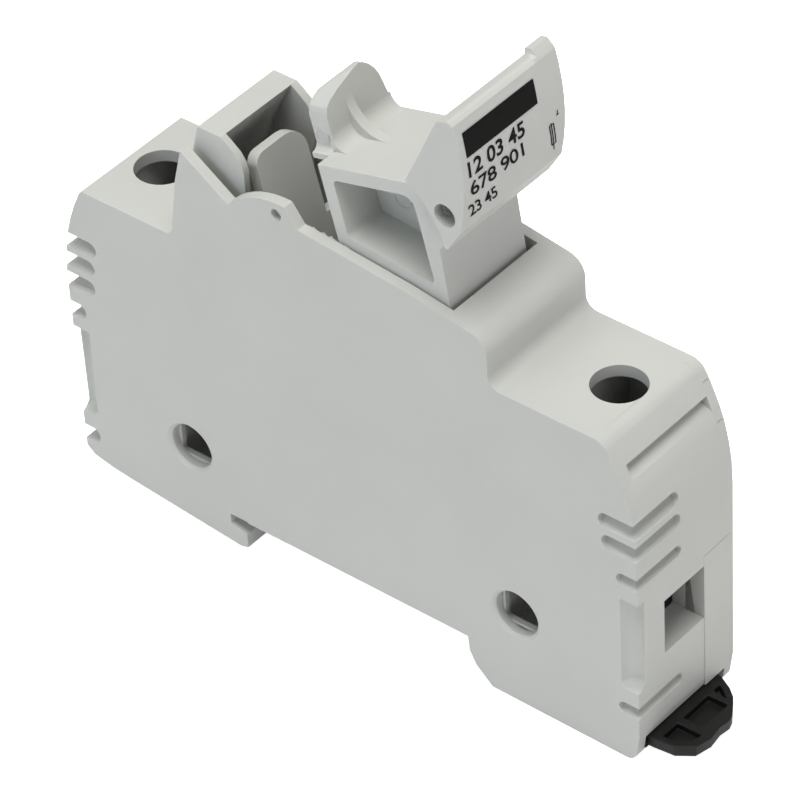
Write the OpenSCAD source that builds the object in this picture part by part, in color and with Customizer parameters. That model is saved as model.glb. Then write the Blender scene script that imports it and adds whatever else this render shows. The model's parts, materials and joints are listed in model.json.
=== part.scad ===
// Modular fuse holder for one cylindrical fuse, drawn with its swing-out carrier open.
// X runs along the mounting rail's width, Y across the module, Z away from the rail.
// The origin is the centre of the face that rests on the rail.

/* [Housing] */
// Width across the two side faces, one module
width = 17.5; // [17.4:0.1:18]
// Thickness of each side wall
side_wall = 1.4; // [1.3:0.05:1.5]
// Width of the recess that takes the mounting rail
rail_gap = 35.5; // [35.3:0.1:35.8]
// Diameter of the round coupling holes in both side walls
coupling_d = 6; // [5.6:0.1:6.2]
// Diameter of the screwdriver holes above the terminal screws
access_d = 6.6; // [6.2:0.1:6.8]

/* [Fuse carrier] */
// Angle from closed to the open position that is drawn
open_angle = 76; // [70:1:76]
// Diameter of the fuse that the jaws grip
fuse_d = 10.3; // [10:0.1:10.4]
// Diameter of the steel pin that the carrier turns on
pivot_d = 3; // [2.6:0.1:3.4]
// Diameter of the seal wire hole through the handle
seal_d = 2.9; // [2:0.1:3]

/* [Terminals] */
// Outer diameter of the screw thread
thread_d = 5; // [4.6:0.1:5.2]
// Thickness of the contact bars
bar_t = 1.8; // [1.5:0.1:1.9]
// Clear width inside each clamp cage
cage_gap = 8; // [7.8:0.1:8.2]

/* [Rail clip] */
// How far the clip's nose stands behind the recess when it is pulled out
nose_back = 0.5; // [0.3:0.1:1]

/* [Hidden] */
$fn = 64;

light_grey = "#c6c7c3";
copper_plated = "#c9c8c0";
steel = "#b9bcc0";
black_plastic = "#1c1c1b";

cut = 0.1;
gap = 0.2;
half_w = width / 2;
inner_w = half_w - side_wall;

terminal_top = 38.75;
roof_t = 1.6;
left_end = -40.6;
right_end = 42.2;
floor_top = 2;
recess = rail_gap / 2;

pivot = [8.2, 38.1];
hump_centre = [-6.5, 40];
hump_r = 10.65;
lid_edge_r = 11.6;

screw_y = 0.15;
left_screw_x = -32.5;
right_screw_x = 33.4;
head_top = 31.6;
head_h = 2.8;
head_d = 7;
bar_bottom = 15;
bar_top = bar_bottom + bar_t;
bar_half = 3.55;
cage_len = 8;
cage_sheet = 0.9;
cage_floor_top = 6.9;
cage_top = 21.2;
nut_h = 2.8;
wire_hole_y = [-3.9, 3.35];
wire_hole_z = [7.1, 14.8];
tunnel_top = 16.5;
chamber_low = 5.2;
seam_z = 16.24;
lift_top = 29.3;

fuse_r = fuse_d / 2;
leaf_t = 0.9;
leaf_out = fuse_r + leaf_t;
spring_in = leaf_out + 0.05;
spring_t = 0.5;
spring_out = spring_in + spring_t;
spring_gap = 0.1;

left_leaf_x = [-18.5, -12.3];
left_leaf_tip = 29.5;
left_spring_x = [-17, -14];
right_web_x = [19.3, 20.4];
right_leaf_z = [21.5, 28.5];
right_lip_x = 11.5;
right_spring_x = [13.5, 17.5];
right_spring_z = [19, 28];
left_spring_z = [bar_bottom - spring_t, left_leaf_tip - 2.5];
bar_slot_x = 18;

left_hole = [-23.35, 7.4];
right_hole = [24.8, 6.95];
pin_r = 1.1;
pin_head_r = 1.9;
pin_head_h = 0.8;
post_r = 2.3;
pin_spots = [[-24.9, 30], [25.2, 30], [-13, 5.2], [14, 5.2], [-35.5, 1.2], [34, 1.2]];

nose_x = recess + nose_back;
clip_top = -3.25;
clip_bottom = -5.4;
handle_bottom = -4.7;
clip_half = inner_w - 0.45;
ledge_top = -5.5;
ledge_half = inner_w - 1.15;
channel_top = -3.05;
clip_arm_x = [27, 39];
clip_window_x = [29, 37.5];

box_near = -inner_w + gap;
box_far = inner_w - 1.2;
web_half = 1.35;
tongue_half = inner_w - 0.95;
tongue_z = [18.3, 19.8];
tab_z = [30.5, 33.1];
hood_near = -inner_w + 1.15;
hood_far = inner_w - 0.4;

// Points on an arc about (cx, cz) from angle a0 to a1
function arc(cx, cz, r, a0, a1, n) =
    [for (i = [0:n]) let (a = a0 + (a1 - a0) * i / n) [cx + r * cos(a), cz + r * sin(a)]];

// Side view of the whole housing, clockwise from the lower left corner
case_outline = concat(
    [[-39.1, -1.5], [-40.25, -0.5]],
    arc(left_end + 29, 25, 29, 180, 152.9, 6),
    [[-37.1, terminal_top]],
    arc(-24.1, terminal_top + 1, 1, 270, 360, 4),
    [[-21.98, 47.2], [-20.83, 51.68]],
    arc(hump_centre[0], hump_centre[1], hump_r, 137, 86, 8),
    [[-4.07, 48.3], [11.2, 46.8]],
    arc(19.7, 42.9, 2.55, 84, 0, 5),
    arc(23.85, terminal_top + 1.6, 1.6, 180, 270, 4),
    [[37.2, terminal_top]],
    arc(right_end - 27.6, 24, 27.6, 31, 0, 6),
    [[42.1, -2.05]],
    arc(40.2, -4.6, 1.5, -5, -95, 4),
    [[21.1, -5.9], [18.8, -3.8], [recess + 0.15, -2], [recess, 0], [-15.1, 0], [-15.1, 0.15],
        [-recess, 0.15], [-recess, -1.2], [-15.35, -1.9], [-15.35, -3.88], [-16.5, -4.15],
        [-33.1, -2.5], [-36.4, -2.1]]);

// Inside of the fuse well, open at the top between the hood and the lid edge
well_outline = [[-19, floor_top], [-19, 19], [-21.65, 21], [-21.65, 38.1], [-20.9, 44], [-20, 47.6],
    [-19.1, 50], [-17.2, 53.9], [-17.2, 60], [16.35, 60], [16.35, 44.3], [19.4, 43.8], [20.6, 42.6],
    [20.6, floor_top]];

// Side profile of the hood's left wall and of the two liners that it carries
hood_outline = [[-22.24, 45.4], [-21.98, 47.2], [-20.3, 53.8], [-16.9, 53.8], [-18.8, 50], [-19.8, 47.6],
    [-20.5, 45.4]];
liner_outline = [[-21.9, 41], [-21.98, 47.2], [-20.3, 53.8], [-16.9, 53.8], [-15.9, 53.1],
    [-14.8, 52.2], [-14.1, 51.2], [-13.8, 50], [-13.8, 47.3], [-15, 44], [-15.3, 41]];

// Ventilation grooves round the near corners: low edge, high edge, length on the side face
left_grooves = [[29.56, 31.6, 4.3], [26.6, 28.7, 4.3], [23.6, 25.7, 4.3], [19.25, 21.3, 2.4],
    [0.6, 2.7, 2.4]];
right_grooves = [[26.7, 28.76, 4.8], [23.7, 25.76, 4.8], [19.45, 21.2, 2.9], [0.5, 2.2, 2.9]];
groove_end_len = 8;
groove_depth = 1.6;

// X of an end face at height z, on the left for side -1 and on the right for side 1
function end_face(side, z) = side < 0
    ? (z > 25 ? left_end + 29 - sqrt(29 * 29 - (z - 25) * (z - 25)) : left_end + (25 - z) * 0.35 / 25.5)
    : (z > 24 ? right_end - 27.6 + sqrt(27.6 * 27.6 - (z - 24) * (z - 24)) : right_end);

// Carrier outlines, in the closed position
box_outline = [[-12.9, 33], [8.5, 33], [12.5, 34.2], [15, 37.5], [15.9, 41], [15.9, 46.05], [1.8, 47.7],
    [-5, 48.4], [-6.9, 51.2], [-9.5, 52.8], [-12.9, 53.6]];
pocket_outline = concat(
    arc(-10.6, 35.3, 0.6, 270, 180, 3),
    arc(-9.7, 44.8, 1.5, 180, 90, 4),
    arc(-0.84, 45.7, 0.6, 90, -19, 4),
    arc(-4.43, 35.3, 0.6, -19, -90, 3));
handle_top = arc(-21.35, 29.3, 27.57, 92.4, 63.4, 7);
cheek_outline = concat(
    [[-22.8, 54.6], [-23.1, 56.3]],
    handle_top,
    [[-6.5, 51.4]],
    arc(hump_centre[0], hump_centre[1], hump_r + 0.35, 90, 136, 6));
plate_outline = concat(
    [[-22.8, 54.6], [-23.1, 56.3]],
    handle_top,
    [[-6.5, 51.4], [-8.6, 51.3], [-10.4, 52.3], [-14, 53.5], [-17.5, 54.4], [-20.5, 54.8]]);
rib_outline = concat([[-12.8, 32.5]], arc(-17.9, 38.1, 5, 270, 360, 6), [[-12.8, 38.1]]);
fillet_outline = concat([[-12.8, 32.5]], arc(-14.9, 35.1, 2, 270, 360, 5), [[-12.8, 35.1]]);
tab_outline = [[-12.2, -5.2], [-12.9, -5.2], [-12.95, -4.8], [-13.2, -4.4], [-13.6, -4.15],
    [-17.2, -4.15], [-18.1, -3.8], [-18.75, -2.9], [-19.3, -1.5], [-19.9, 0.4], [-20.25, 1.7],
    [-20.3, 2.5], [-20, 3.2], [-19.46, 3.87], [-18.6, 4.55], [-17.6, 5.02], [-16.04, 5.37],
    [-13.24, 5.91], [-12.2, box_far]];
tongue_outline = concat(
    [[8.5, -tongue_half], [8.5, tongue_half], [2, tongue_half], [2, 4]],
    arc(-6.8, 1, 3, 90, 180, 5),
    arc(-8.3, -2.7, 1.5, 180, 270, 4),
    [[2, -4.2], [2, -tongue_half]]);

// Handle of the rail clip seen from above
clip_end_outline = [[41, -clip_half], [43.1, -clip_half], [45.4, -clip_half + 0.25], [47.3, -5.3],
    [47.8, -3.1], [47.5, -1], [47.7, 0.5], [47.4, 1.4], [45.7, 3.9], [44.5, clip_half - 2.05],
    [42.6, clip_half - 1.1], [41, clip_half - 1.1]];

// Extrudes a side view from y0 to y1
module slab(y0, y1) {
    translate([0, y1, 0]) rotate([90, 0, 0]) linear_extrude(height = y1 - y0) children();
}

// Extrudes an end view, drawn as (y, z), from x0 to x1
module end_slab(x0, x1) {
    translate([x0, 0, 0]) rotate([90, 0, 90]) linear_extrude(height = x1 - x0) children();
}

// A box between two opposite corners
module block(low, high) {
    translate(low) cube(high - low);
}

// A round bar or bore along Y
module y_rod(spot, y0, y1, r) {
    translate([spot[0], y0, spot[1]]) rotate([-90, 0, 0]) cylinder(h = y1 - y0, r = r);
}

// Swings a carrier piece from the closed position to the open one
module swung() {
    translate([pivot[0], 0, pivot[1]]) rotate([0, open_angle, 0])
        translate([-pivot[0], 0, -pivot[1]]) children();
}

// One ventilation groove round a near corner, deep at its upper edge; side is -1 at the left end
module corner_groove(groove, side) {
    low = groove[0];
    high = groove[1];
    r = (high - low) / 2;
    face_x = end_face(side, high);
    x_out = face_x + side * 3;
    x_tip = face_x - side * (groove[2] - r);
    y_tip = -half_w + groove_end_len - r;
    intersection() {
        end_slab(min(x_tip, x_out) - 2, max(x_tip, x_out) + 2)
            polygon([[-half_w - cut, low - cut], [-half_w - cut, high], [-half_w + groove_depth, high],
                [-half_w + 0.8 * groove_depth, low + r], [-half_w + 0.4 * groove_depth, low + 0.4 * r],
                [-half_w, low]]);
        slab(-half_w - 1, -half_w + 2) polygon(concat([[x_out, high], [x_out, low]],
            arc(x_tip, low + r, r, -90, -90 - side * 180, 6)));
    }
    intersection() {
        slab(-half_w - 1, -half_w + 10) polygon([[x_out, low - cut], [x_out, high],
            [face_x - side * groove_depth, high], [face_x - side * 0.8 * groove_depth, low + r],
            [face_x - side * 0.4 * groove_depth, low + 0.4 * r], [face_x + side * 0.05, low]]);
        end_slab(face_x - 2, face_x + 2) polygon(concat([[-half_w - cut, high], [-half_w - cut, low]],
            arc(y_tip, low + r, r, -90, 90, 6)));
    }
}

// The scooped rebate down each near corner, sloping out at its lower end
module corner_rebate(side, low, high) {
    scoop_r = 1.5;
    slope_h = 1;
    translate([end_face(side, low) - side * 0.9, -half_w, low]) {
        translate([0, 0, slope_h]) cylinder(h = high - low - slope_h, r = scoop_r);
        cylinder(h = slope_h, r1 = 0.9, r2 = scoop_r);
    }
}

// Both coupling holes through a side wall, with their outer chamfer on the side that dir names
module coupling_holes(wall_y, dir) {
    for (spot = [left_hole, right_hole]) {
        y_rod(spot, wall_y - side_wall, wall_y + side_wall, coupling_d / 2);
        translate([spot[0], wall_y, spot[1]]) rotate([dir * 90, 0, 0])
            translate([0, 0, -0.4]) cylinder(h = 0.8, r1 = coupling_d / 2, r2 = coupling_d / 2 + 0.8);
    }
}

// Room for one cage and its screw head, with a pocket towards the end above the wire tunnel
module terminal_chamber(x, side) {
    inner_x = x - side * (cage_len / 2 + 0.4);
    cage_x = x + side * (cage_len / 2 + 0.3);
    head_x = x + side * (head_d / 2 + 0.3);
    pocket_x = x + side * (cage_len / 2 + 1.8);
    chamber_near = -inner_w + 1;
    block([min(inner_x, cage_x), chamber_near, chamber_low], [max(inner_x, cage_x), inner_w + cut, lift_top]);
    block([min(inner_x, head_x), chamber_near, lift_top - cut],
        [max(inner_x, head_x), inner_w + cut, terminal_top - roof_t]);
    block([min(inner_x, pocket_x), -inner_w + 1.8, tunnel_top],
        [max(inner_x, pocket_x), inner_w + cut, lift_top - 3]);
}

// Slots through the inner walls for one contact bar
module bar_slot(x, side) {
    x_in = side * bar_slot_x;
    x_out = x + side * 5;
    block([min(x_in, x_out), screw_y - bar_half - 0.05, bar_bottom - 0.05],
        [max(x_in, x_out), inner_w + cut, bar_top + 0.05]);
}

// Room for the jaw springs on one side, cut into the wall where the module is too narrow for them
module spring_room(side) {
    deep = side * max(inner_w - cut, spring_out + spring_gap);
    for (spot = [[left_spring_x, left_spring_z], [right_spring_x, right_spring_z]])
        block([spot[0][0] - spring_gap, min(0, deep), spot[1][0] - spring_gap],
            [spot[0][1] + spring_gap, max(0, deep), spot[1][1] + spring_gap]);
}

module near_shell() {
    color(light_grey) difference() {
        union() {
            difference() {
                slab(-half_w, inner_w) polygon(case_outline);
                slab(-inner_w, inner_w + cut) polygon(well_outline);
                y_rod(pivot, -inner_w, inner_w + cut, lid_edge_r);
                terminal_chamber(left_screw_x, -1);
                terminal_chamber(right_screw_x, 1);
                block([-26.7, -inner_w, floor_top], [-20.2, inner_w + cut, 13.2]);
                block([-26.7, -inner_w, 18.6], [-23.1, inner_w + cut, 36.6]);
                block([21.9, -inner_w, floor_top], [28, inner_w + cut, 13.2]);
                block([22.3, -inner_w, 18.6], [28, inner_w + cut, 36.6]);
                block([-24, -inner_w, 45.4], [-13, hood_near + cut, 60]);
                clip_channel();
            }
            slab(hood_near, hood_far) polygon(hood_outline);
            slab(hood_near, hood_near + 0.9) polygon(liner_outline);
            slab(hood_far - 1.1, hood_far) polygon(liner_outline);
            for (spot = pin_spots) y_rod(spot, -inner_w - 0.5, inner_w, post_r);
            for (x = [left_screw_x, right_screw_x])
                for (side = [-1, 1])
                    block([x + side * 2.5 - 0.5, -inner_w - cut, 7], [x + side * 2.5 + 0.5, -5.1, 28]);
        }
        for (x = [left_screw_x, right_screw_x])
            translate([x, screw_y, terminal_top - roof_t - cut])
                cylinder(h = roof_t + 2 * cut, r = access_d / 2);
        for (spot = pin_spots) y_rod(spot, -inner_w + 1, inner_w + cut, pin_r + 0.02);
        y_rod(pivot, -inner_w - 0.8, -inner_w + cut, pivot_d / 2 + 0.02);
        spring_room(-1);
        coupling_holes(-half_w, 1);
        y_rod([-7.1, 49], -half_w - cut, -half_w + 0.9, 0.75);
        for (groove = left_grooves) corner_groove(groove, -1);
        for (groove = right_grooves) corner_groove(groove, 1);
        corner_rebate(-1, 4.7, 17.6);
        corner_rebate(1, 4.4, 17.4);
        tag_slot(-39.3, -1);
        tag_slot(40.55, 1);
        for (span = [[left_end - 1, left_screw_x], [right_screw_x, right_end + 1]])
            block([span[0], wire_hole_y[0], wire_hole_z[0]], [span[1], wire_hole_y[1], wire_hole_z[1]]);
        block([right_end - 2.7, wire_hole_y[1], -4], [right_end + cut, inner_w + cut, seam_z]);
        bar_slot(left_screw_x, -1);
        bar_slot(right_screw_x, 1);
    }
}

// Slot for a marking tag across a curved end face, deep along its upper edge
module tag_slot(x, side) {
    translate([x, 0, 34.35]) rotate([0, -side * 23, 0])
        slab(-inner_w + 0.35, inner_w + cut) polygon([[side * 2, -1.25], [side * 2, 1.25],
            [-side * 1.8, 1.25], [-side * 1.3, 0.3], [0, -1.25]]);
}

// Space in the right foot that the rail clip slides in
module clip_channel() {
    block([recess - 1, -inner_w, ledge_top], [right_end + 1, inner_w + cut, channel_top]);
    block([recess - 1, -ledge_half, -7], [right_end + 1, inner_w + cut, ledge_top + cut]);
    block([recess - 1, -inner_w, channel_top - cut], [26.4, inner_w + cut, -1.1]);
}

module far_cover() {
    color(light_grey) difference() {
        union() {
            slab(inner_w, half_w) polygon(case_outline);
            block([right_end - 2.6, wire_hole_y[1], channel_top], [right_end, inner_w + cut, seam_z - 0.05]);
            block([recess + 3.5, ledge_half, -5.95], [39.6, inner_w + cut, ledge_top]);
            for (x = [left_screw_x, right_screw_x])
                for (side = [-1, 1])
                    block([x + side * 2.5 - 0.5, 5.4, 7], [x + side * 2.5 + 0.5, inner_w + cut, 28]);
        }
        for (spot = pin_spots) {
            y_rod(spot, inner_w - cut, half_w + cut, pin_r + 0.02);
            y_rod(spot, half_w - pin_head_h, half_w + cut, pin_head_r + 0.02);
        }
        y_rod(pivot, inner_w - cut, inner_w + 0.8, pivot_d / 2 + 0.02);
        spring_room(1);
        coupling_holes(half_w, -1);
        block([right_end - 0.25, inner_w - cut, seam_z - 0.05], [right_end + cut, half_w + cut, seam_z]);
        for (step = [[38.85, 36.65], [40.8, 31.95]])
            block([step[0], inner_w + 0.25, step[1]], [step[0] + 1.5, half_w + cut, step[1] + 0.12]);
    }
}

// Finger tab with its outer end slanted back
module finger_tab() {
    intersection() {
        translate([0, 0, tab_z[0]]) linear_extrude(height = tab_z[1] - tab_z[0]) polygon(tab_outline);
        slab(-inner_w, inner_w) polygon([[-19.05, tab_z[0] - cut], [-12, tab_z[0] - cut],
            [-12, tab_z[1] + cut], [-20.4, tab_z[1] + cut]]);
    }
}

module fuse_carrier() {
    color(light_grey) swung() difference() {
        union() {
            slab(box_near, box_far) polygon(box_outline);
            slab(-half_w, half_w) polygon(plate_outline);
            for (y = [-half_w, inner_w]) slab(y, y + side_wall) polygon(cheek_outline);
            slab(-inner_w - 0.05, inner_w + 0.05)
                polygon([[-12.9, 51.2], [-12.9, 54], [-9.5, 53.5], [-7.2, 51.2]]);
            finger_tab();
            for (step = [0, 0.6])
                slab(half_w - 3.4 + step, half_w) polygon([[-22.6, 54.8], [-23.2 - step, 55.2],
                    [-23.2 - step, 56.1], [-22.9, 56.7], [-22.5, 56.85]]);
            slab(-4.3, box_far - 0.3) polygon(fillet_outline);
            slab(-0.9, 0.4) polygon(rib_outline);
            translate([0, 0, tongue_z[0]]) linear_extrude(height = tongue_z[1] - tongue_z[0])
                polygon(tongue_outline);
            for (y = [box_near, box_far - web_half])
                block([2, y, tongue_z[0]], [8.5, y + web_half, tab_z[1]]);
        }
        slab(box_near - cut, -web_half) polygon(pocket_outline);
        slab(web_half, box_far + cut) polygon(pocket_outline);
        y_rod(pivot, -half_w, half_w, pivot_d / 2 + 0.05);
        y_rod([-10.83, 52.21], -half_w - cut, half_w + cut, seal_d / 2);
    }
}

module pivot_pin() {
    color(steel) y_rod(pivot, -inner_w - 0.75, inner_w + 0.75, pivot_d / 2);
}

module left_contact() {
    color(copper_plated) union() {
        block([left_screw_x - 4.9, screw_y - bar_half, bar_bottom],
            [left_leaf_x[1], screw_y + bar_half, bar_top]);
        end_slab(left_leaf_x[0], left_leaf_x[1]) polygon([[-leaf_out, bar_bottom], [leaf_out, bar_bottom],
            [leaf_out, left_leaf_tip], [leaf_out - 0.3, left_leaf_tip], [fuse_r, left_leaf_tip - 1.5],
            [fuse_r, bar_top], [-fuse_r, bar_top], [-fuse_r, left_leaf_tip - 1.5],
            [-leaf_out + 0.3, left_leaf_tip], [-leaf_out, left_leaf_tip]]);
    }
}

module right_contact() {
    web_in = right_web_x[0];
    web_out = right_web_x[1];
    lip_x = right_lip_x;
    color(copper_plated) union() {
        block([web_in, screw_y - bar_half, bar_bottom], [right_screw_x + 4.9, screw_y + bar_half, bar_top]);
        block([web_in, screw_y - bar_half, bar_bottom], [web_out, screw_y + bar_half, right_leaf_z[0] + 0.5]);
        translate([0, 0, right_leaf_z[0]]) linear_extrude(height = right_leaf_z[1] - right_leaf_z[0])
            polygon([[web_out, -leaf_out], [web_out, leaf_out], [lip_x, leaf_out], [lip_x, leaf_out - 0.3],
                [lip_x + 1.5, fuse_r], [web_in, fuse_r], [web_in, -fuse_r], [lip_x + 1.5, -fuse_r],
                [lip_x, -leaf_out + 0.3], [lip_x, -leaf_out]]);
    }
}

// Steel U that keeps a pair of jaw leaves pressed together
module jaw_spring(x0, x1, low, high) {
    color(steel) end_slab(x0, x1) polygon([[-spring_out, low], [spring_out, low], [spring_out, high],
        [spring_in, high], [spring_in, low + spring_t], [-spring_in, low + spring_t], [-spring_in, high],
        [-spring_out, high]]);
}

module left_jaw_spring() {
    jaw_spring(left_spring_x[0], left_spring_x[1], left_spring_z[0], left_spring_z[1]);
}

module right_jaw_spring() {
    jaw_spring(right_spring_x[0], right_spring_x[1], right_spring_z[0], right_spring_z[1]);
}

// Folded clamp cage round the contact bar, at its lowest position
module cage(x) {
    in = cage_gap / 2;
    out = in + cage_sheet;
    color(steel) translate([x, screw_y, 0]) difference() {
        end_slab(-cage_len / 2, cage_len / 2) difference() {
            polygon([[-out, cage_floor_top - 1.2], [out, cage_floor_top - 1.2], [out, cage_top],
                [-out, cage_top]]);
            polygon([[-in, cage_floor_top], [in, cage_floor_top], [in, cage_top - 1], [-in, cage_top - 1]]);
        }
        translate([0, 0, cage_top - 2]) cylinder(h = 3, r = thread_d / 2 + 0.25);
    }
}

// Threaded plate under the cage's top
module cage_nut(x) {
    color(steel) translate([x, screw_y, cage_top - 1 - nut_h]) difference() {
        block([-cage_len / 2 + 0.2, -cage_gap / 2 + 0.1, 0], [cage_len / 2 - 0.2, cage_gap / 2 - 0.1, nut_h]);
        translate([0, 0, -cut]) cylinder(h = nut_h + 2 * cut, r = thread_d / 2 + 0.06);
    }
}

module terminal_screw(x) {
    tip = bar_top + 0.1;
    color(steel) translate([x, screw_y, 0]) difference() {
        union() {
            translate([0, 0, tip]) cylinder(h = head_top - tip, r = thread_d / 2);
            translate([0, 0, head_top - head_h]) cylinder(h = head_h, r = head_d / 2);
        }
        for (turn = [0, 90])
            rotate([0, 0, turn]) block([-2.4, -0.55, head_top - 1.8], [2.4, 0.55, head_top + 1]);
    }
}

module left_cage() {
    cage(left_screw_x);
}

module right_cage() {
    cage(right_screw_x);
}

module left_cage_nut() {
    cage_nut(left_screw_x);
}

module right_cage_nut() {
    cage_nut(right_screw_x);
}

module left_terminal_screw() {
    terminal_screw(left_screw_x);
}

module right_terminal_screw() {
    terminal_screw(right_screw_x);
}

module rail_clip() {
    hollow_floor = handle_bottom + 0.6;
    color(black_plastic) difference() {
        union() {
            block([nose_x, -clip_half, clip_bottom], [41.5, clip_half, clip_top]);
            slab(-clip_half, clip_half) polygon([[nose_x, clip_top - cut], [nose_x, -1.6],
                [nose_x + 0.4, -1.3], [nose_x + 3.4, -1.3], [nose_x + 3.6, clip_top - cut]]);
            translate([0, 0, handle_bottom]) linear_extrude(height = clip_top - handle_bottom)
                polygon(clip_end_outline);
        }
        for (side = [-1, 1]) {
            arm_y = side * (clip_half - 2.3);
            block([clip_arm_x[0], arm_y - 0.35, clip_bottom - 1],
                [clip_arm_x[1], arm_y + 0.35, clip_top + 1]);
            block([clip_arm_x[1] - 0.6, side * (clip_half - 0.9) - 1.5, clip_bottom - 1],
                [clip_arm_x[1], side * (clip_half - 0.9) + 1.5, clip_top + 1]);
        }
        block([clip_window_x[0], -2.8, clip_bottom - 1], [clip_window_x[1], 2.8, clip_top + 1]);
        translate([0, 0, hollow_floor]) linear_extrude(height = 3)
            polygon([[43.3, -2.2], [46, -2.2], [46, 2.4], [43.3, 2.4]]);
        translate([0, 0, hollow_floor]) linear_extrude(height = 3)
            polygon([[43.3, -6], [45, -5.8], [46.4, -4.6], [46.6, -3.3], [43.3, -3.3]]);
        translate([0, 0, hollow_floor]) linear_extrude(height = 3)
            polygon([[43.3, 3.4], [45.2, 3.2], [44.2, 4], [43.3, 4.5]]);
        slab(-clip_half - cut, clip_half + cut)
            polygon([[nose_x - cut, clip_bottom - cut], [nose_x + 1.8, clip_bottom - cut],
                [nose_x - cut, clip_bottom + 2]]);
    }
}

// Drive pin from the far side that holds the two shells together
module shell_pin(index) {
    spot = pin_spots[index];
    color(steel) union() {
        y_rod(spot, -inner_w + 1.2, half_w - cut, pin_r);
        y_rod(spot, half_w - pin_head_h, half_w, pin_head_r);
    }
}

module shell_pin_1() {
    shell_pin(0);
}

module shell_pin_2() {
    shell_pin(1);
}

module shell_pin_3() {
    shell_pin(2);
}

module shell_pin_4() {
    shell_pin(3);
}

module shell_pin_5() {
    shell_pin(4);
}

module shell_pin_6() {
    shell_pin(5);
}

near_shell();
far_cover();
fuse_carrier();
pivot_pin();
left_contact();
right_contact();
left_jaw_spring();
right_jaw_spring();
left_cage();
right_cage();
left_cage_nut();
right_cage_nut();
left_terminal_screw();
right_terminal_screw();
rail_clip();
shell_pin_1();
shell_pin_2();
shell_pin_3();
shell_pin_4();
shell_pin_5();
shell_pin_6();
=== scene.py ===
import json
import math
import random

import bpy
from mathutils import Matrix, Vector


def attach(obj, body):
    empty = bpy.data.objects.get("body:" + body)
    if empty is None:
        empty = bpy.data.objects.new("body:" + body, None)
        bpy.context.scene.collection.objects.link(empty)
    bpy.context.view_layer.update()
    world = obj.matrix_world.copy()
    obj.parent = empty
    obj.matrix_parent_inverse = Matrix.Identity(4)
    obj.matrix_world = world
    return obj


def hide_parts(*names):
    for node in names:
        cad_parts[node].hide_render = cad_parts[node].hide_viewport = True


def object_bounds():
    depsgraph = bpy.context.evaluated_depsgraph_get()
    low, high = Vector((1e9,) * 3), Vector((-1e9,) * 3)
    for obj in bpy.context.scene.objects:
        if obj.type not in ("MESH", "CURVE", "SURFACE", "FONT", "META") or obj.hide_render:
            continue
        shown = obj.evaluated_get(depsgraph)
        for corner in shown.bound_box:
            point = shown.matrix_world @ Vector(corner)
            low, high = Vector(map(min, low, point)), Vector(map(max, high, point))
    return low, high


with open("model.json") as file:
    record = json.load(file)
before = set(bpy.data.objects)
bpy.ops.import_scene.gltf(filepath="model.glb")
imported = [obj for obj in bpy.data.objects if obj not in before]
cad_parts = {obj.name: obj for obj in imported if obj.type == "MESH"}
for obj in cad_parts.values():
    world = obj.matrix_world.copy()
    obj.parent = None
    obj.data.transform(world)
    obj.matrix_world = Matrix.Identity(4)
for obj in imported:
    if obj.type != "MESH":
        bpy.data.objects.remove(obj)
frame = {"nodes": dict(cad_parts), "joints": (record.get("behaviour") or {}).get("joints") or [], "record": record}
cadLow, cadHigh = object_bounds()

mm = 0.001
scene = bpy.context.scene
hinge = next(joint for joint in frame["joints"] if joint["name"] == "carrier_hinge")
pivot = Vector(hinge["pos_m"]) / mm  # axis that the carrier turns on
openAngle = math.radians(-hinge["range_deg"][0])
mounts = {mount["name"]: Vector(mount["pos_m"]) / mm for mount in frame["record"]["mounts"]}
toneSpan = (0.3, 0.7)  # where in the noise the dark tone ends and the light one begins


def hexColour(text):
    values = [int(text[i:i + 2], 16) / 255 for i in (1, 3, 5)]
    return [v / 12.92 if v <= 0.04045 else ((v + 0.055) / 1.055) ** 2.4 for v in values] + [1]


def addNode(material, kind, place, inputs=None, **settings):
    node = material.node_tree.nodes.new(kind)
    node.location = place
    for name, value in settings.items():
        setattr(node, name, value)
    for name, value in (inputs or {}).items():
        node.inputs[name].default_value = value
    return node


def newMaterial(name):
    material = bpy.data.materials.new(name)
    material.use_nodes = True
    material.node_tree.nodes.clear()
    output = addNode(material, "ShaderNodeOutputMaterial", (600, 0))
    shader = addNode(material, "ShaderNodeBsdfPrincipled", (300, 0))
    material.node_tree.links.new(shader.outputs["BSDF"], output.inputs["Surface"])
    return material, shader


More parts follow.
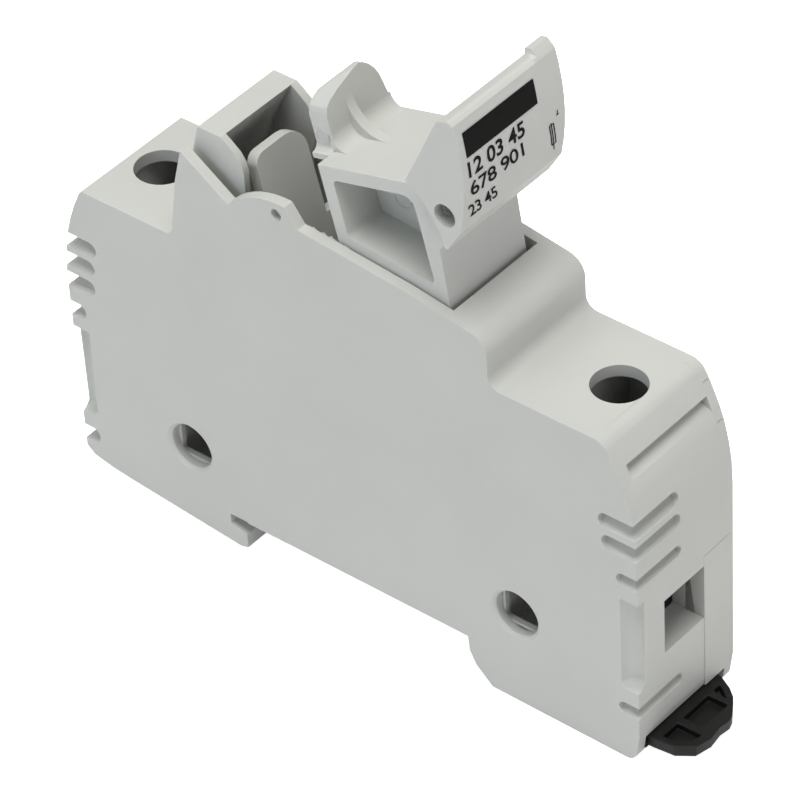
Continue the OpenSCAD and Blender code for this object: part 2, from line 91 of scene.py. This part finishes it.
def mouldedPlastic(name, settings):
    material, shader = newMaterial(name)
    link = material.node_tree.links.new
    place = addNode(material, "ShaderNodeTexCoord", (-1000, 0))
    cloud = addNode(material, "ShaderNodeTexNoise", (-800, 200),
                    {"Scale": settings["cloudScale"], "Detail": 3.0})
    tone = addNode(material, "ShaderNodeValToRGB", (-500, 200))
    tone.color_ramp.elements[0].position = toneSpan[0]
    tone.color_ramp.elements[0].color = hexColour(settings["dark"])
    tone.color_ramp.elements[1].position = toneSpan[1]
    tone.color_ramp.elements[1].color = hexColour(settings["light"])
    link(place.outputs["Object"], cloud.inputs["Vector"])
    link(cloud.outputs["Fac"], tone.inputs["Fac"])
    link(tone.outputs["Color"], shader.inputs["Base Color"])
    grain = addNode(material, "ShaderNodeTexNoise", (-800, -200),
                    {"Scale": settings["grainScale"], "Detail": 2.0})
    bump = addNode(material, "ShaderNodeBump", (0, -300),
                   {"Strength": settings["grainStrength"], "Distance": settings["grainDepth"] * mm})
    link(place.outputs["Object"], grain.inputs["Vector"])
    link(grain.outputs["Fac"], bump.inputs["Height"])
    link(bump.outputs["Normal"], shader.inputs["Normal"])
    gloss = addNode(material, "ShaderNodeMapRange", (-200, -100),
                    {"To Min": settings["roughLow"], "To Max": settings["roughHigh"]})
    link(cloud.outputs["Fac"], gloss.inputs["Value"])
    link(gloss.outputs["Result"], shader.inputs["Roughness"])
    shader.inputs["Specular IOR Level"].default_value = settings["specular"]
    if settings["depth"] > 0:
        shader.inputs["Subsurface Weight"].default_value = settings["depth"]
        shader.inputs["Subsurface Radius"].default_value = settings["depthTint"]
        shader.inputs["Subsurface Scale"].default_value = settings["depthReach"] * mm
    return material


def platedMetal(name, settings):
    material, shader = newMaterial(name)
    link = material.node_tree.links.new
    place = addNode(material, "ShaderNodeTexCoord", (-1000, 0))
    stretch = addNode(material, "ShaderNodeMapping", (-800, 0), {"Scale": settings["stretch"]})
    marks = addNode(material, "ShaderNodeTexNoise", (-600, 0),
                    {"Scale": settings["markScale"], "Detail": 4.0})
    tone = addNode(material, "ShaderNodeValToRGB", (-300, 200))
    tone.color_ramp.elements[0].color = hexColour(settings["dark"])
    tone.color_ramp.elements[1].color = hexColour(settings["light"])
    gloss = addNode(material, "ShaderNodeMapRange", (-300, -100),
                    {"To Min": settings["roughLow"], "To Max": settings["roughHigh"]})
    bump = addNode(material, "ShaderNodeBump", (0, -300),
                   {"Strength": settings["markStrength"], "Distance": settings["markDepth"] * mm})
    link(place.outputs["Object"], stretch.inputs["Vector"])
    link(stretch.outputs["Vector"], marks.inputs["Vector"])
    link(marks.outputs["Fac"], tone.inputs["Fac"])
    link(tone.outputs["Color"], shader.inputs["Base Color"])
    link(marks.outputs["Fac"], gloss.inputs["Value"])
    link(gloss.outputs["Result"], shader.inputs["Roughness"])
    link(marks.outputs["Fac"], bump.inputs["Height"])
    link(bump.outputs["Normal"], shader.inputs["Normal"])
    shader.inputs["Metallic"].default_value = 1.0
    return material


housingFinish = {"dark": "#BFC0BC", "light": "#C3C4C0", "cloudScale": 60.0, "grainScale": 2600.0,
                 "grainStrength": 0.12, "grainDepth": 0.03, "roughLow": 0.42, "roughHigh": 0.52,
                 "specular": 0.4, "depth": 0.12, "depthTint": (1, 0.95, 0.9), "depthReach": 0.6}
carrierFinish = dict(housingFinish, dark="#C1C2BE", light="#C5C6C2", roughLow=0.38, roughHigh=0.5)
clipFinish = {"dark": "#0B0B0B", "light": "#141413", "cloudScale": 240.0, "grainScale": 1300.0,
              "grainStrength": 0.35, "grainDepth": 0.06, "roughLow": 0.32, "roughHigh": 0.52,
              "specular": 0.35, "depth": 0}
inkFinish = {"dark": "#0C0D0C", "light": "#131412", "cloudScale": 400.0, "grainScale": 5000.0,
             "grainStrength": 0.1, "grainDepth": 0.01, "roughLow": 0.6, "roughHigh": 0.75,
             "specular": 0.12, "depth": 0}
steelFinish = {"dark": "#8E9196", "light": "#B4B7BB", "stretch": (1, 1, 6), "markScale": 900.0,
               "markStrength": 0.25, "markDepth": 0.02, "roughLow": 0.25, "roughHigh": 0.4}
zincFinish = dict(steelFinish, dark="#9CA0A6", light="#C2C6CC", stretch=(1, 1, 1), markScale=700.0,
                  roughLow=0.28, roughHigh=0.45)
silverFinish = dict(steelFinish, dark="#A8A69C", light="#CBC9C0", stretch=(4, 1, 1), markScale=600.0,
                    roughLow=0.3, roughHigh=0.42)

housingPlastic = mouldedPlastic("light grey housing plastic", housingFinish)
carrierPlastic = mouldedPlastic("light grey carrier plastic", carrierFinish)
clipPlastic = mouldedPlastic("black clip plastic", clipFinish)
blackInk = mouldedPlastic("black pad printing ink", inkFinish)
springSteel = platedMetal("spring steel", steelFinish)
zincSteel = platedMetal("zinc plated steel", zincFinish)
silverCopper = platedMetal("silver plated copper", silverFinish)
print("materials made")

nodeMaterials = {
    "pivot_pin": springSteel, "left_jaw_spring": springSteel, "right_jaw_spring": springSteel,
    "left_contact": silverCopper, "right_contact": silverCopper,
    "left_cage": zincSteel, "right_cage": zincSteel, "left_cage_nut": zincSteel, "right_cage_nut": zincSteel,
    "left_terminal_screw": zincSteel, "right_terminal_screw": zincSteel,
    "near_shell": housingPlastic, "far_cover": housingPlastic, "fuse_carrier": carrierPlastic,
    "rail_clip": clipPlastic}


def dress(piece, material):
    piece.data.materials.clear()
    piece.data.materials.append(material)


for name, node in frame["nodes"].items():
    dress(node, nodeMaterials.get(name, springSteel))


def deselectAll():
    for piece in list(bpy.context.selected_objects):
        piece.select_set(False)


def makeActive(piece):
    deselectAll()
    piece.select_set(True)
    bpy.context.view_layer.objects.active = piece


# alongside: cosine above which a neighbour runs along the edge; free: mm where nothing crosses
roomRules = {"alongside": 0.9, "free": 10}


def roomBeside(mesh):
    corners = mesh.vertices
    reach = [(corners[edge.vertices[1]].co - corners[edge.vertices[0]].co) / mm for edge in mesh.edges]
    meeting, room = {}, []
    for edge in mesh.edges:
        for index in edge.vertices:
            meeting.setdefault(index, []).append(edge.index)
    for edge in mesh.edges:
        here = reach[edge.index]
        beside = [reach[other] for index in edge.vertices for other in meeting[index] if other != edge.index]
        crossing = [line.length for line in beside
                    if abs(line.dot(here)) < roomRules["alongside"] * line.length * here.length]
        room.append(min(crossing, default=roomRules["free"]))
    return room


def edgeWeights(piece, settings):
    mesh = piece.data
    faces = {}
    for face in mesh.polygons:
        for key in face.edge_keys:
            faces.setdefault(key, []).append(face.normal)
    room = roomBeside(mesh)
    weights = mesh.attributes.new("bevel_weight_edge", "FLOAT", "EDGE")
    for edge in mesh.edges:
        normals = faces.get(edge.key, [])
        ends = [mesh.vertices[index].co / mm for index in edge.vertices]
        sharp = len(normals) == 2 and normals[0].angle(normals[1], 0) > math.radians(settings["sharp"])
        onSeam = any(all(abs(end.y - y) < settings["seamReach"] for end in ends) for y in settings["seams"])
        roomy = room[edge.index] > settings["room"]
        weights.data[edge.index].value = 1.0 if sharp and roomy and not onSeam else 0.0


creaseRules = {"shortest": 0.3, "straight": 0.02, "near": 0.05, "segments": 3}  # first three in mm


def onCrease(mesh, edge, spots):
    start, end = [mesh.vertices[index].co / mm for index in edge.vertices]
    across = abs(start.y - end.y) > creaseRules["shortest"]
    straight = math.hypot(start.x - end.x, start.z - end.z) < creaseRules["straight"]
    return across and straight and any(
        math.hypot(start.x - x, start.z - z) < creaseRules["near"] for x, z in spots)


def roundCreases(piece, creases):
    mesh = piece.data
    for spots, width in creases:
        makeActive(piece)
        bpy.ops.object.mode_set(mode="EDIT")
        bpy.ops.mesh.select_mode(type="EDGE")
        bpy.ops.mesh.select_all(action="DESELECT")
        bpy.ops.object.mode_set(mode="OBJECT")
        for edge in mesh.edges:
            edge.select = onCrease(mesh, edge, spots)
        bpy.ops.object.mode_set(mode="EDIT")
        bpy.ops.mesh.bevel(offset=width * mm, segments=creaseRules["segments"], affect="EDGES",
                           clamp_overlap=True)
        bpy.ops.object.mode_set(mode="OBJECT")


def softEdged(nodeName, body, pieceName, material, settings):
    node = frame["nodes"][nodeName]
    piece = node.copy()
    piece.data = node.data.copy()
    for key in list(piece.keys()):
        del piece[key]
    piece.name = pieceName
    piece.parent = None
    piece.matrix_world = Matrix.Identity(4)
    scene.collection.objects.link(piece)
    makeActive(piece)
    bpy.ops.object.mode_set(mode="EDIT")
    bpy.ops.mesh.select_all(action="SELECT")
    bpy.ops.mesh.remove_doubles(threshold=settings["weld"] * mm)
    bpy.ops.mesh.dissolve_limited(angle_limit=math.radians(settings["flat"]))
    bpy.ops.object.mode_set(mode="OBJECT")
    roundCreases(piece, settings["creases"])
    edgeWeights(piece, settings)
    rounding = piece.modifiers.new("rounded edges", "BEVEL")
    rounding.width = settings["radius"] * mm
    rounding.segments = settings["segments"]
    rounding.limit_method = "WEIGHT"
    rounding.use_clamp_overlap = True
    bpy.ops.object.modifier_apply(modifier=rounding.name)
    bpy.ops.object.shade_smooth_by_angle(angle=math.radians(settings["smooth"]))
    shading = piece.modifiers.new("flat faces stay flat", "WEIGHTED_NORMAL")
    shading.mode = "FACE_AREA"
    shading.keep_sharp = True
    bpy.ops.object.modifier_apply(modifier=shading.name)
    dress(piece, material)
    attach(piece, body)
    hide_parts(nodeName)
    print(pieceName, "made,", len(piece.data.polygons), "faces")


# creases are (x, z) spots of edges that run across the module, with the width of their rounding;
# room is what an edge needs beside it to be rounded; seams are the y of the shells' parting
terminalCreases = [([(37.2, 38.75), (38.257, 38.215)], 0.5), ([(-37.1, 38.75), (-37.416, 38.211)], 0.27)]
housingEdges = {"weld": 0.002, "flat": 0.5, "radius": 0.22, "room": 0.5, "segments": 2, "sharp": 28,
                "smooth": 32, "seams": [7.35], "seamReach": 0.02, "creases": terminalCreases}
coverEdges = dict(housingEdges, seams=[7.35, 3.35])
carrierEdges = dict(housingEdges, radius=0.28, seams=[], creases=[([(18.287, 72.873)], 0.4)])
clipEdges = dict(housingEdges, radius=0.35, room=0.75, segments=3, smooth=50, seams=[], creases=[])
softEdged("near_shell", "housing", "case_near", housingPlastic, housingEdges)
softEdged("far_cover", "housing", "case_far", housingPlastic, coverEdges)
softEdged("fuse_carrier", "carrier", "carrier_body", carrierPlastic, carrierEdges)
softEdged("rail_clip", "clip", "clip_body", clipPlastic, clipEdges)

labelArc = {"x": -21.35, "z": 29.3, "radius": 27.57, "start": 92.4}  # closed carrier's handle face, in mm


def swung(x, y, z):
    dx, dz = x - pivot.x, z - pivot.z
    return Vector((pivot.x + dx * math.cos(openAngle) + dz * math.sin(openAngle), y,
                   pivot.z - dx * math.sin(openAngle) + dz * math.cos(openAngle))) * mm


def onLabel(along, across, lift):
    angle = math.radians(labelArc["start"]) - along / labelArc["radius"]
    reach = labelArc["radius"] + lift
    return swung(labelArc["x"] + reach * math.cos(angle), across, labelArc["z"] + reach * math.sin(angle))


def wrapOnLabel(piece, material, lift):
    for vertex in piece.data.vertices:
        vertex.co = onLabel(vertex.co.y, vertex.co.x, lift + vertex.co.z)
    piece.matrix_world = Matrix.Identity(4)
    dress(piece, material)
    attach(piece, "carrier")


def fitInto(piece, across, along):
    xs = [vertex.co.x for vertex in piece.data.vertices]
    ys = [vertex.co.y for vertex in piece.data.vertices]
    for vertex in piece.data.vertices:
        vertex.co.x = across[0] + (vertex.co.x - min(xs)) / (max(xs) - min(xs)) * (across[1] - across[0])
        vertex.co.y = along[0] + (vertex.co.y - min(ys)) / (max(ys) - min(ys)) * (along[1] - along[0])


def leanOver(piece, lean):
    start = min(vertex.co.y for vertex in piece.data.vertices)
    for vertex in piece.data.vertices:
        vertex.co.x += lean * (vertex.co.y - start)


def printPatch(name, across, along, material, lift, cells, lean):
    deselectAll()
    bpy.ops.mesh.primitive_grid_add(x_subdivisions=cells[0], y_subdivisions=cells[1], size=1)
    piece = bpy.context.active_object
    piece.name = name
    fitInto(piece, across, along)
    leanOver(piece, lean)
    wrapOnLabel(piece, material, lift)


def printNumbers(name, settings, lift):
    deselectAll()
    bpy.ops.object.text_add()
    piece = bpy.context.active_object
    piece.name = name
    piece.data.body = settings["digits"]
    piece.data.size = 1
    piece.data.offset = settings["weight"]
    piece.data.space_character = settings["spacing"]
    makeActive(piece)
    bpy.ops.object.convert(target="MESH")
    piece.data.name = name
    for vertex in piece.data.vertices:
        vertex.co.y = -vertex.co.y
    bpy.ops.object.mode_set(mode="EDIT")
    bpy.ops.mesh.select_all(action="SELECT")
    bpy.ops.mesh.flip_normals()
    bpy.ops.object.mode_set(mode="OBJECT")
    fitInto(piece, settings["across"], settings["along"])
    leanOver(piece, settings["lean"])
    wrapOnLabel(piece, blackInk, lift)


labelBlock = {"across": (-7.69, 4.37), "along": (1.3, 4.39), "lift": 0.035, "cells": (24, 12)}
printPatch("label_block", labelBlock["across"], labelBlock["along"], blackInk, labelBlock["lift"],
           labelBlock["cells"], 0)

numberRows = {
    "numbers_top": {"digits": "12 03 45", "across": (-7.75, 1.75), "along": (4.95, 7.0), "weight": 0.02,
                    "spacing": 1.0, "lean": 0.05},
    "numbers_middle": {"digits": "678 901", "across": (-7.75, 1.3), "along": (7.6, 9.6), "weight": 0.012,
                       "spacing": 0.95, "lean": 0.2},
    "numbers_low": {"digits": "23 45", "across": (-8.0, -3.3), "along": (10.6, 12.5), "weight": 0.012,
                    "spacing": 0.95, "lean": 0.36}}
for name, settings in numberRows.items():
    printNumbers(name, settings, labelBlock["lift"])

symbolStrokes = {
    "symbol_line_1": ((5.85, 6.02), (8.3, 11.4), 0.2), "symbol_line_2": ((6.12, 6.29), (8.1, 12.2), 0.2),
    "symbol_line_3": ((6.54, 6.71), (8.3, 11.4), 0.2), "symbol_end_1": ((5.85, 6.71), (8.3, 8.42), 0.2),
    "symbol_end_2": ((6.45, 7.31), (11.28, 11.4), 0.2), "symbol_tick": ((7.15, 7.6), (7.5, 7.66), 0),
    "symbol_stem": ((7.31, 7.44), (7.0, 7.5), 0)}
symbolCells = (2, 10)
for name, (across, along, lean) in symbolStrokes.items():
    printPatch(name, across, along, blackInk, labelBlock["lift"], symbolCells, lean)
print("label made")


def ejectorMark(name, place, settings):
    deselectAll()
    bpy.ops.mesh.primitive_circle_add(vertices=settings["sides"], radius=settings["radius"],
                                      fill_type="NGON")
    piece = bpy.context.active_object
    piece.name = name
    bpy.ops.object.mode_set(mode="EDIT")
    bpy.ops.mesh.select_all(action="SELECT")
    bpy.ops.mesh.extrude_region_move(TRANSFORM_OT_translate={"value": (0, 0, settings["height"])})
    bpy.ops.mesh.inset(thickness=settings["rim"])
    sink = settings["sink"] * settings["height"]
    bpy.ops.mesh.extrude_region_move(TRANSFORM_OT_translate={"value": (0, 0, -sink)})
    bpy.ops.mesh.select_all(action="SELECT")
    bpy.ops.mesh.normals_make_consistent(inside=False)
    bpy.ops.object.mode_set(mode="OBJECT")
    for vertex in piece.data.vertices:
        u, v, w = vertex.co
        vertex.co = swung(place[0] + u, place[1] - w, place[2] + v)
    dress(piece, carrierPlastic)
    makeActive(piece)
    bpy.ops.object.shade_smooth_by_angle(angle=math.radians(settings["smooth"]))
    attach(piece, "carrier")


markShape = {"radius": 0.95, "height": 0.12, "rim": 0.14, "sink": 0.7, "sides": 32, "smooth": 30}
ejectorMark("ejector_mark_tab", (-14.56, -4.14, 31.7), markShape)
ejectorMark("ejector_mark_pocket", (-6.2, -1.34, 38.6), dict(markShape, radius=1.25))


def couplingFrame(name, mount, settings):
    deselectAll()
    bpy.ops.mesh.primitive_cube_add(size=1)
    piece = bpy.context.active_object
    piece.name = name
    half, deep = settings["outer"], settings["depth"]
    inset = math.copysign(settings["inset"], mount.y)
    for vertex in piece.data.vertices:
        vertex.co = Vector((mount.x + 2 * half * vertex.co.x, inset + deep * vertex.co.y,
                            mount.z + 2 * half * vertex.co.z)) * mm
    makeActive(piece)
    bpy.ops.object.mode_set(mode="EDIT")
    bpy.ops.mesh.select_mode(type="FACE")
    bpy.ops.mesh.select_all(action="DESELECT")
    bpy.ops.object.mode_set(mode="OBJECT")
    for face in piece.data.polygons:
        face.select = abs(face.normal.y) > settings["facing"]
    bpy.ops.object.mode_set(mode="EDIT")
    bpy.ops.mesh.inset(thickness=(half - settings["opening"]) * mm)
    bpy.ops.mesh.bridge_edge_loops()
    bpy.ops.object.mode_set(mode="OBJECT")
    corners = piece.modifiers.new("soft corners", "BEVEL")
    corners.width = settings["corner"] * mm
    corners.segments = settings["segments"]
    bpy.ops.object.modifier_apply(modifier=corners.name)
    dress(piece, housingPlastic)
    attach(piece, "housing")


frameShape = {"opening": 2.5, "depth": 0.8, "inset": 6.94, "facing": 0.9, "corner": 0.06, "segments": 2}
couplingFrames = {
    "coupling_frame_1": ("near_coupling_left", 3.1), "coupling_frame_2": ("near_coupling_right", 2.87),
    "coupling_frame_3": ("far_coupling_left", 3.1), "coupling_frame_4": ("far_coupling_right", 2.87)}
for name, (hole, outer) in couplingFrames.items():
    couplingFrame(name, mounts[hole], dict(frameShape, outer=outer))


def mouldFlash(name, settings):
    deselectAll()
    bpy.ops.mesh.primitive_grid_add(x_subdivisions=settings["cells"], y_subdivisions=1, size=1)
    piece = bpy.context.active_object
    piece.name = name
    chance = random.Random(settings["seed"])
    start, end = Vector(settings["start"]), Vector(settings["end"])
    rise = {}
    for vertex in piece.data.vertices:
        share = vertex.co.x + 0.5
        step = round(share * settings["cells"])
        if step not in rise:
            rise[step] = chance.choice(settings["heights"])
        spot = start.lerp(end, share)
        lift = rise[step] if vertex.co.y > 0 else -settings["root"]
        vertex.co = Vector((spot.x, spot.y + settings["slope"] * max(lift, 0), spot.z + lift)) * mm
    thick = piece.modifiers.new("thickness", "SOLIDIFY")
    thick.thickness = settings["thickness"] * mm
    makeActive(piece)
    bpy.ops.object.modifier_apply(modifier=thick.name)
    dress(piece, housingPlastic)
    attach(piece, "housing")


flashSettings = {"start": (-3.6, -7.4, 48.22), "end": (2.2, -7.4, 47.68), "cells": 26,
                 "heights": (0.02, 0.05, 0.1, 0.18, 0.25), "root": 0.05, "slope": 0.3, "thickness": 0.09,
                 "seed": 4}
mouldFlash("mould_flash", flashSettings)
print("marks made")

# angles in degrees, focus in pixels of the picture's width, place and sensor in mm, clip in m
cameraSettings = {"azimuth": 41.34, "elevation": 39.611, "roll": -3.2637, "focus": 5435.88,
                  "pixels": 800, "sensor": 36, "place": (315.04, -356.02, 413.54), "clip": (0.01, 10)}


def makeCamera(settings):
    azimuth, elevation = math.radians(settings["azimuth"]), math.radians(settings["elevation"])
    roll = math.radians(settings["roll"])
    back = Vector((math.sin(azimuth) * math.cos(elevation), -math.cos(azimuth) * math.cos(elevation),
                   math.sin(elevation)))
    right = Vector((math.cos(azimuth), math.sin(azimuth), 0))
    up = back.cross(right)
    side = right * math.cos(roll) + up * math.sin(roll)
    top = up * math.cos(roll) - right * math.sin(roll)
    data = bpy.data.cameras.new("camera")
    data.sensor_width = settings["sensor"]
    data.lens = settings["focus"] / settings["pixels"] * settings["sensor"]
    camera = bpy.data.objects.new("camera", data)
    scene.collection.objects.link(camera)
    turn = Matrix((side, top, back)).transposed().to_4x4()
    camera.matrix_world = Matrix.Translation(Vector(settings["place"]) * mm) @ turn
    data.clip_start, data.clip_end = settings["clip"]
    scene.camera = camera


makeCamera(cameraSettings)

lightAim = Vector((0, 0, 0.03))
lightSettings = {
    "top": {"place": (0.06, -0.1, 0.94), "size": 0.6, "watts": 8.1, "tint": (1, 0.99, 0.955)},
    "near": {"place": (-0.1, -0.9, 0.35), "size": 0.6, "watts": 1.75, "tint": (0.88, 1, 1.12)},
    "right": {"place": (0.9, -0.1, 0.3), "size": 0.6, "watts": 1.8, "tint": (0.98, 0.99, 1.03)},
    "left": {"place": (-0.6, -0.4, 0.6), "size": 0.6, "watts": 0.5, "tint": (0.95, 1, 1.03)},
    "back": {"place": (-0.5, 0.5, 0.6), "size": 0.6, "watts": 0.7, "tint": (1, 1, 1)}}


def makeLight(name, settings):
    data = bpy.data.lights.new(name, "AREA")
    data.size = settings["size"]
    data.energy = settings["watts"]
    data.color = settings["tint"]
    light = bpy.data.objects.new(name, data)
    light.location = settings["place"]
    light.rotation_mode = "QUATERNION"
    light.rotation_quaternion = (Vector(settings["place"]) - lightAim).to_track_quat("Z", "Y")
    scene.collection.objects.link(light)


for name, settings in lightSettings.items():
    makeLight(name, settings)

print("camera and lights made")

worldSettings = {"ambient": "#FFFFFF", "strength": 0.18, "backdrop": "#FFFFFF", "backdropStrength": 1}
world = bpy.data.worlds.new("studio")
scene.world = world
world.use_nodes = True
world.node_tree.nodes.clear()
path = addNode(world, "ShaderNodeLightPath", (-400, 300))
soft = addNode(world, "ShaderNodeBackground", (-400, 0),
               {"Color": hexColour(worldSettings["ambient"]), "Strength": worldSettings["strength"]})
white = addNode(world, "ShaderNodeBackground", (-400, -200),
                {"Color": hexColour(worldSettings["backdrop"]),
                 "Strength": worldSettings["backdropStrength"]})
mix = addNode(world, "ShaderNodeMixShader", (-100, 0))
out = addNode(world, "ShaderNodeOutputWorld", (100, 0))
world.node_tree.links.new(path.outputs["Is Camera Ray"], mix.inputs["Fac"])
world.node_tree.links.new(soft.outputs["Background"], mix.inputs[1])
world.node_tree.links.new(white.outputs["Background"], mix.inputs[2])
world.node_tree.links.new(mix.outputs["Shader"], out.inputs["Surface"])

floorSettings = {"size": 6.0, "drop": 0.02, "glow": 0.9, "tone": (0.9, 0.9, 0.9, 1), "roughness": 0.9}
deselectAll()
bpy.ops.mesh.primitive_plane_add(size=floorSettings["size"],
                                 location=(0, 0, cadLow.z - floorSettings["drop"] * mm))
floor = bpy.context.active_object
floor.name = "floor"
floorPaint, floorShader = newMaterial("white floor")
floorShader.inputs["Base Color"].default_value = floorSettings["tone"]
floorShader.inputs["Roughness"].default_value = floorSettings["roughness"]
floorPath = addNode(floorPaint, "ShaderNodeLightPath", (0, 300))
floorShader.inputs["Emission Color"].default_value = (1, 1, 1, 1)
floorGlow = addNode(floorPaint, "ShaderNodeMath", (150, 300), operation="MULTIPLY")
floorGlow.inputs[1].default_value = floorSettings["glow"]
floorPaint.node_tree.links.new(floorPath.outputs["Is Camera Ray"], floorGlow.inputs[0])
floorPaint.node_tree.links.new(floorGlow.outputs["Value"], floorShader.inputs["Emission Strength"])
dress(floor, floorPaint)

scene.view_settings.view_transform = "Standard"
print("stage made")
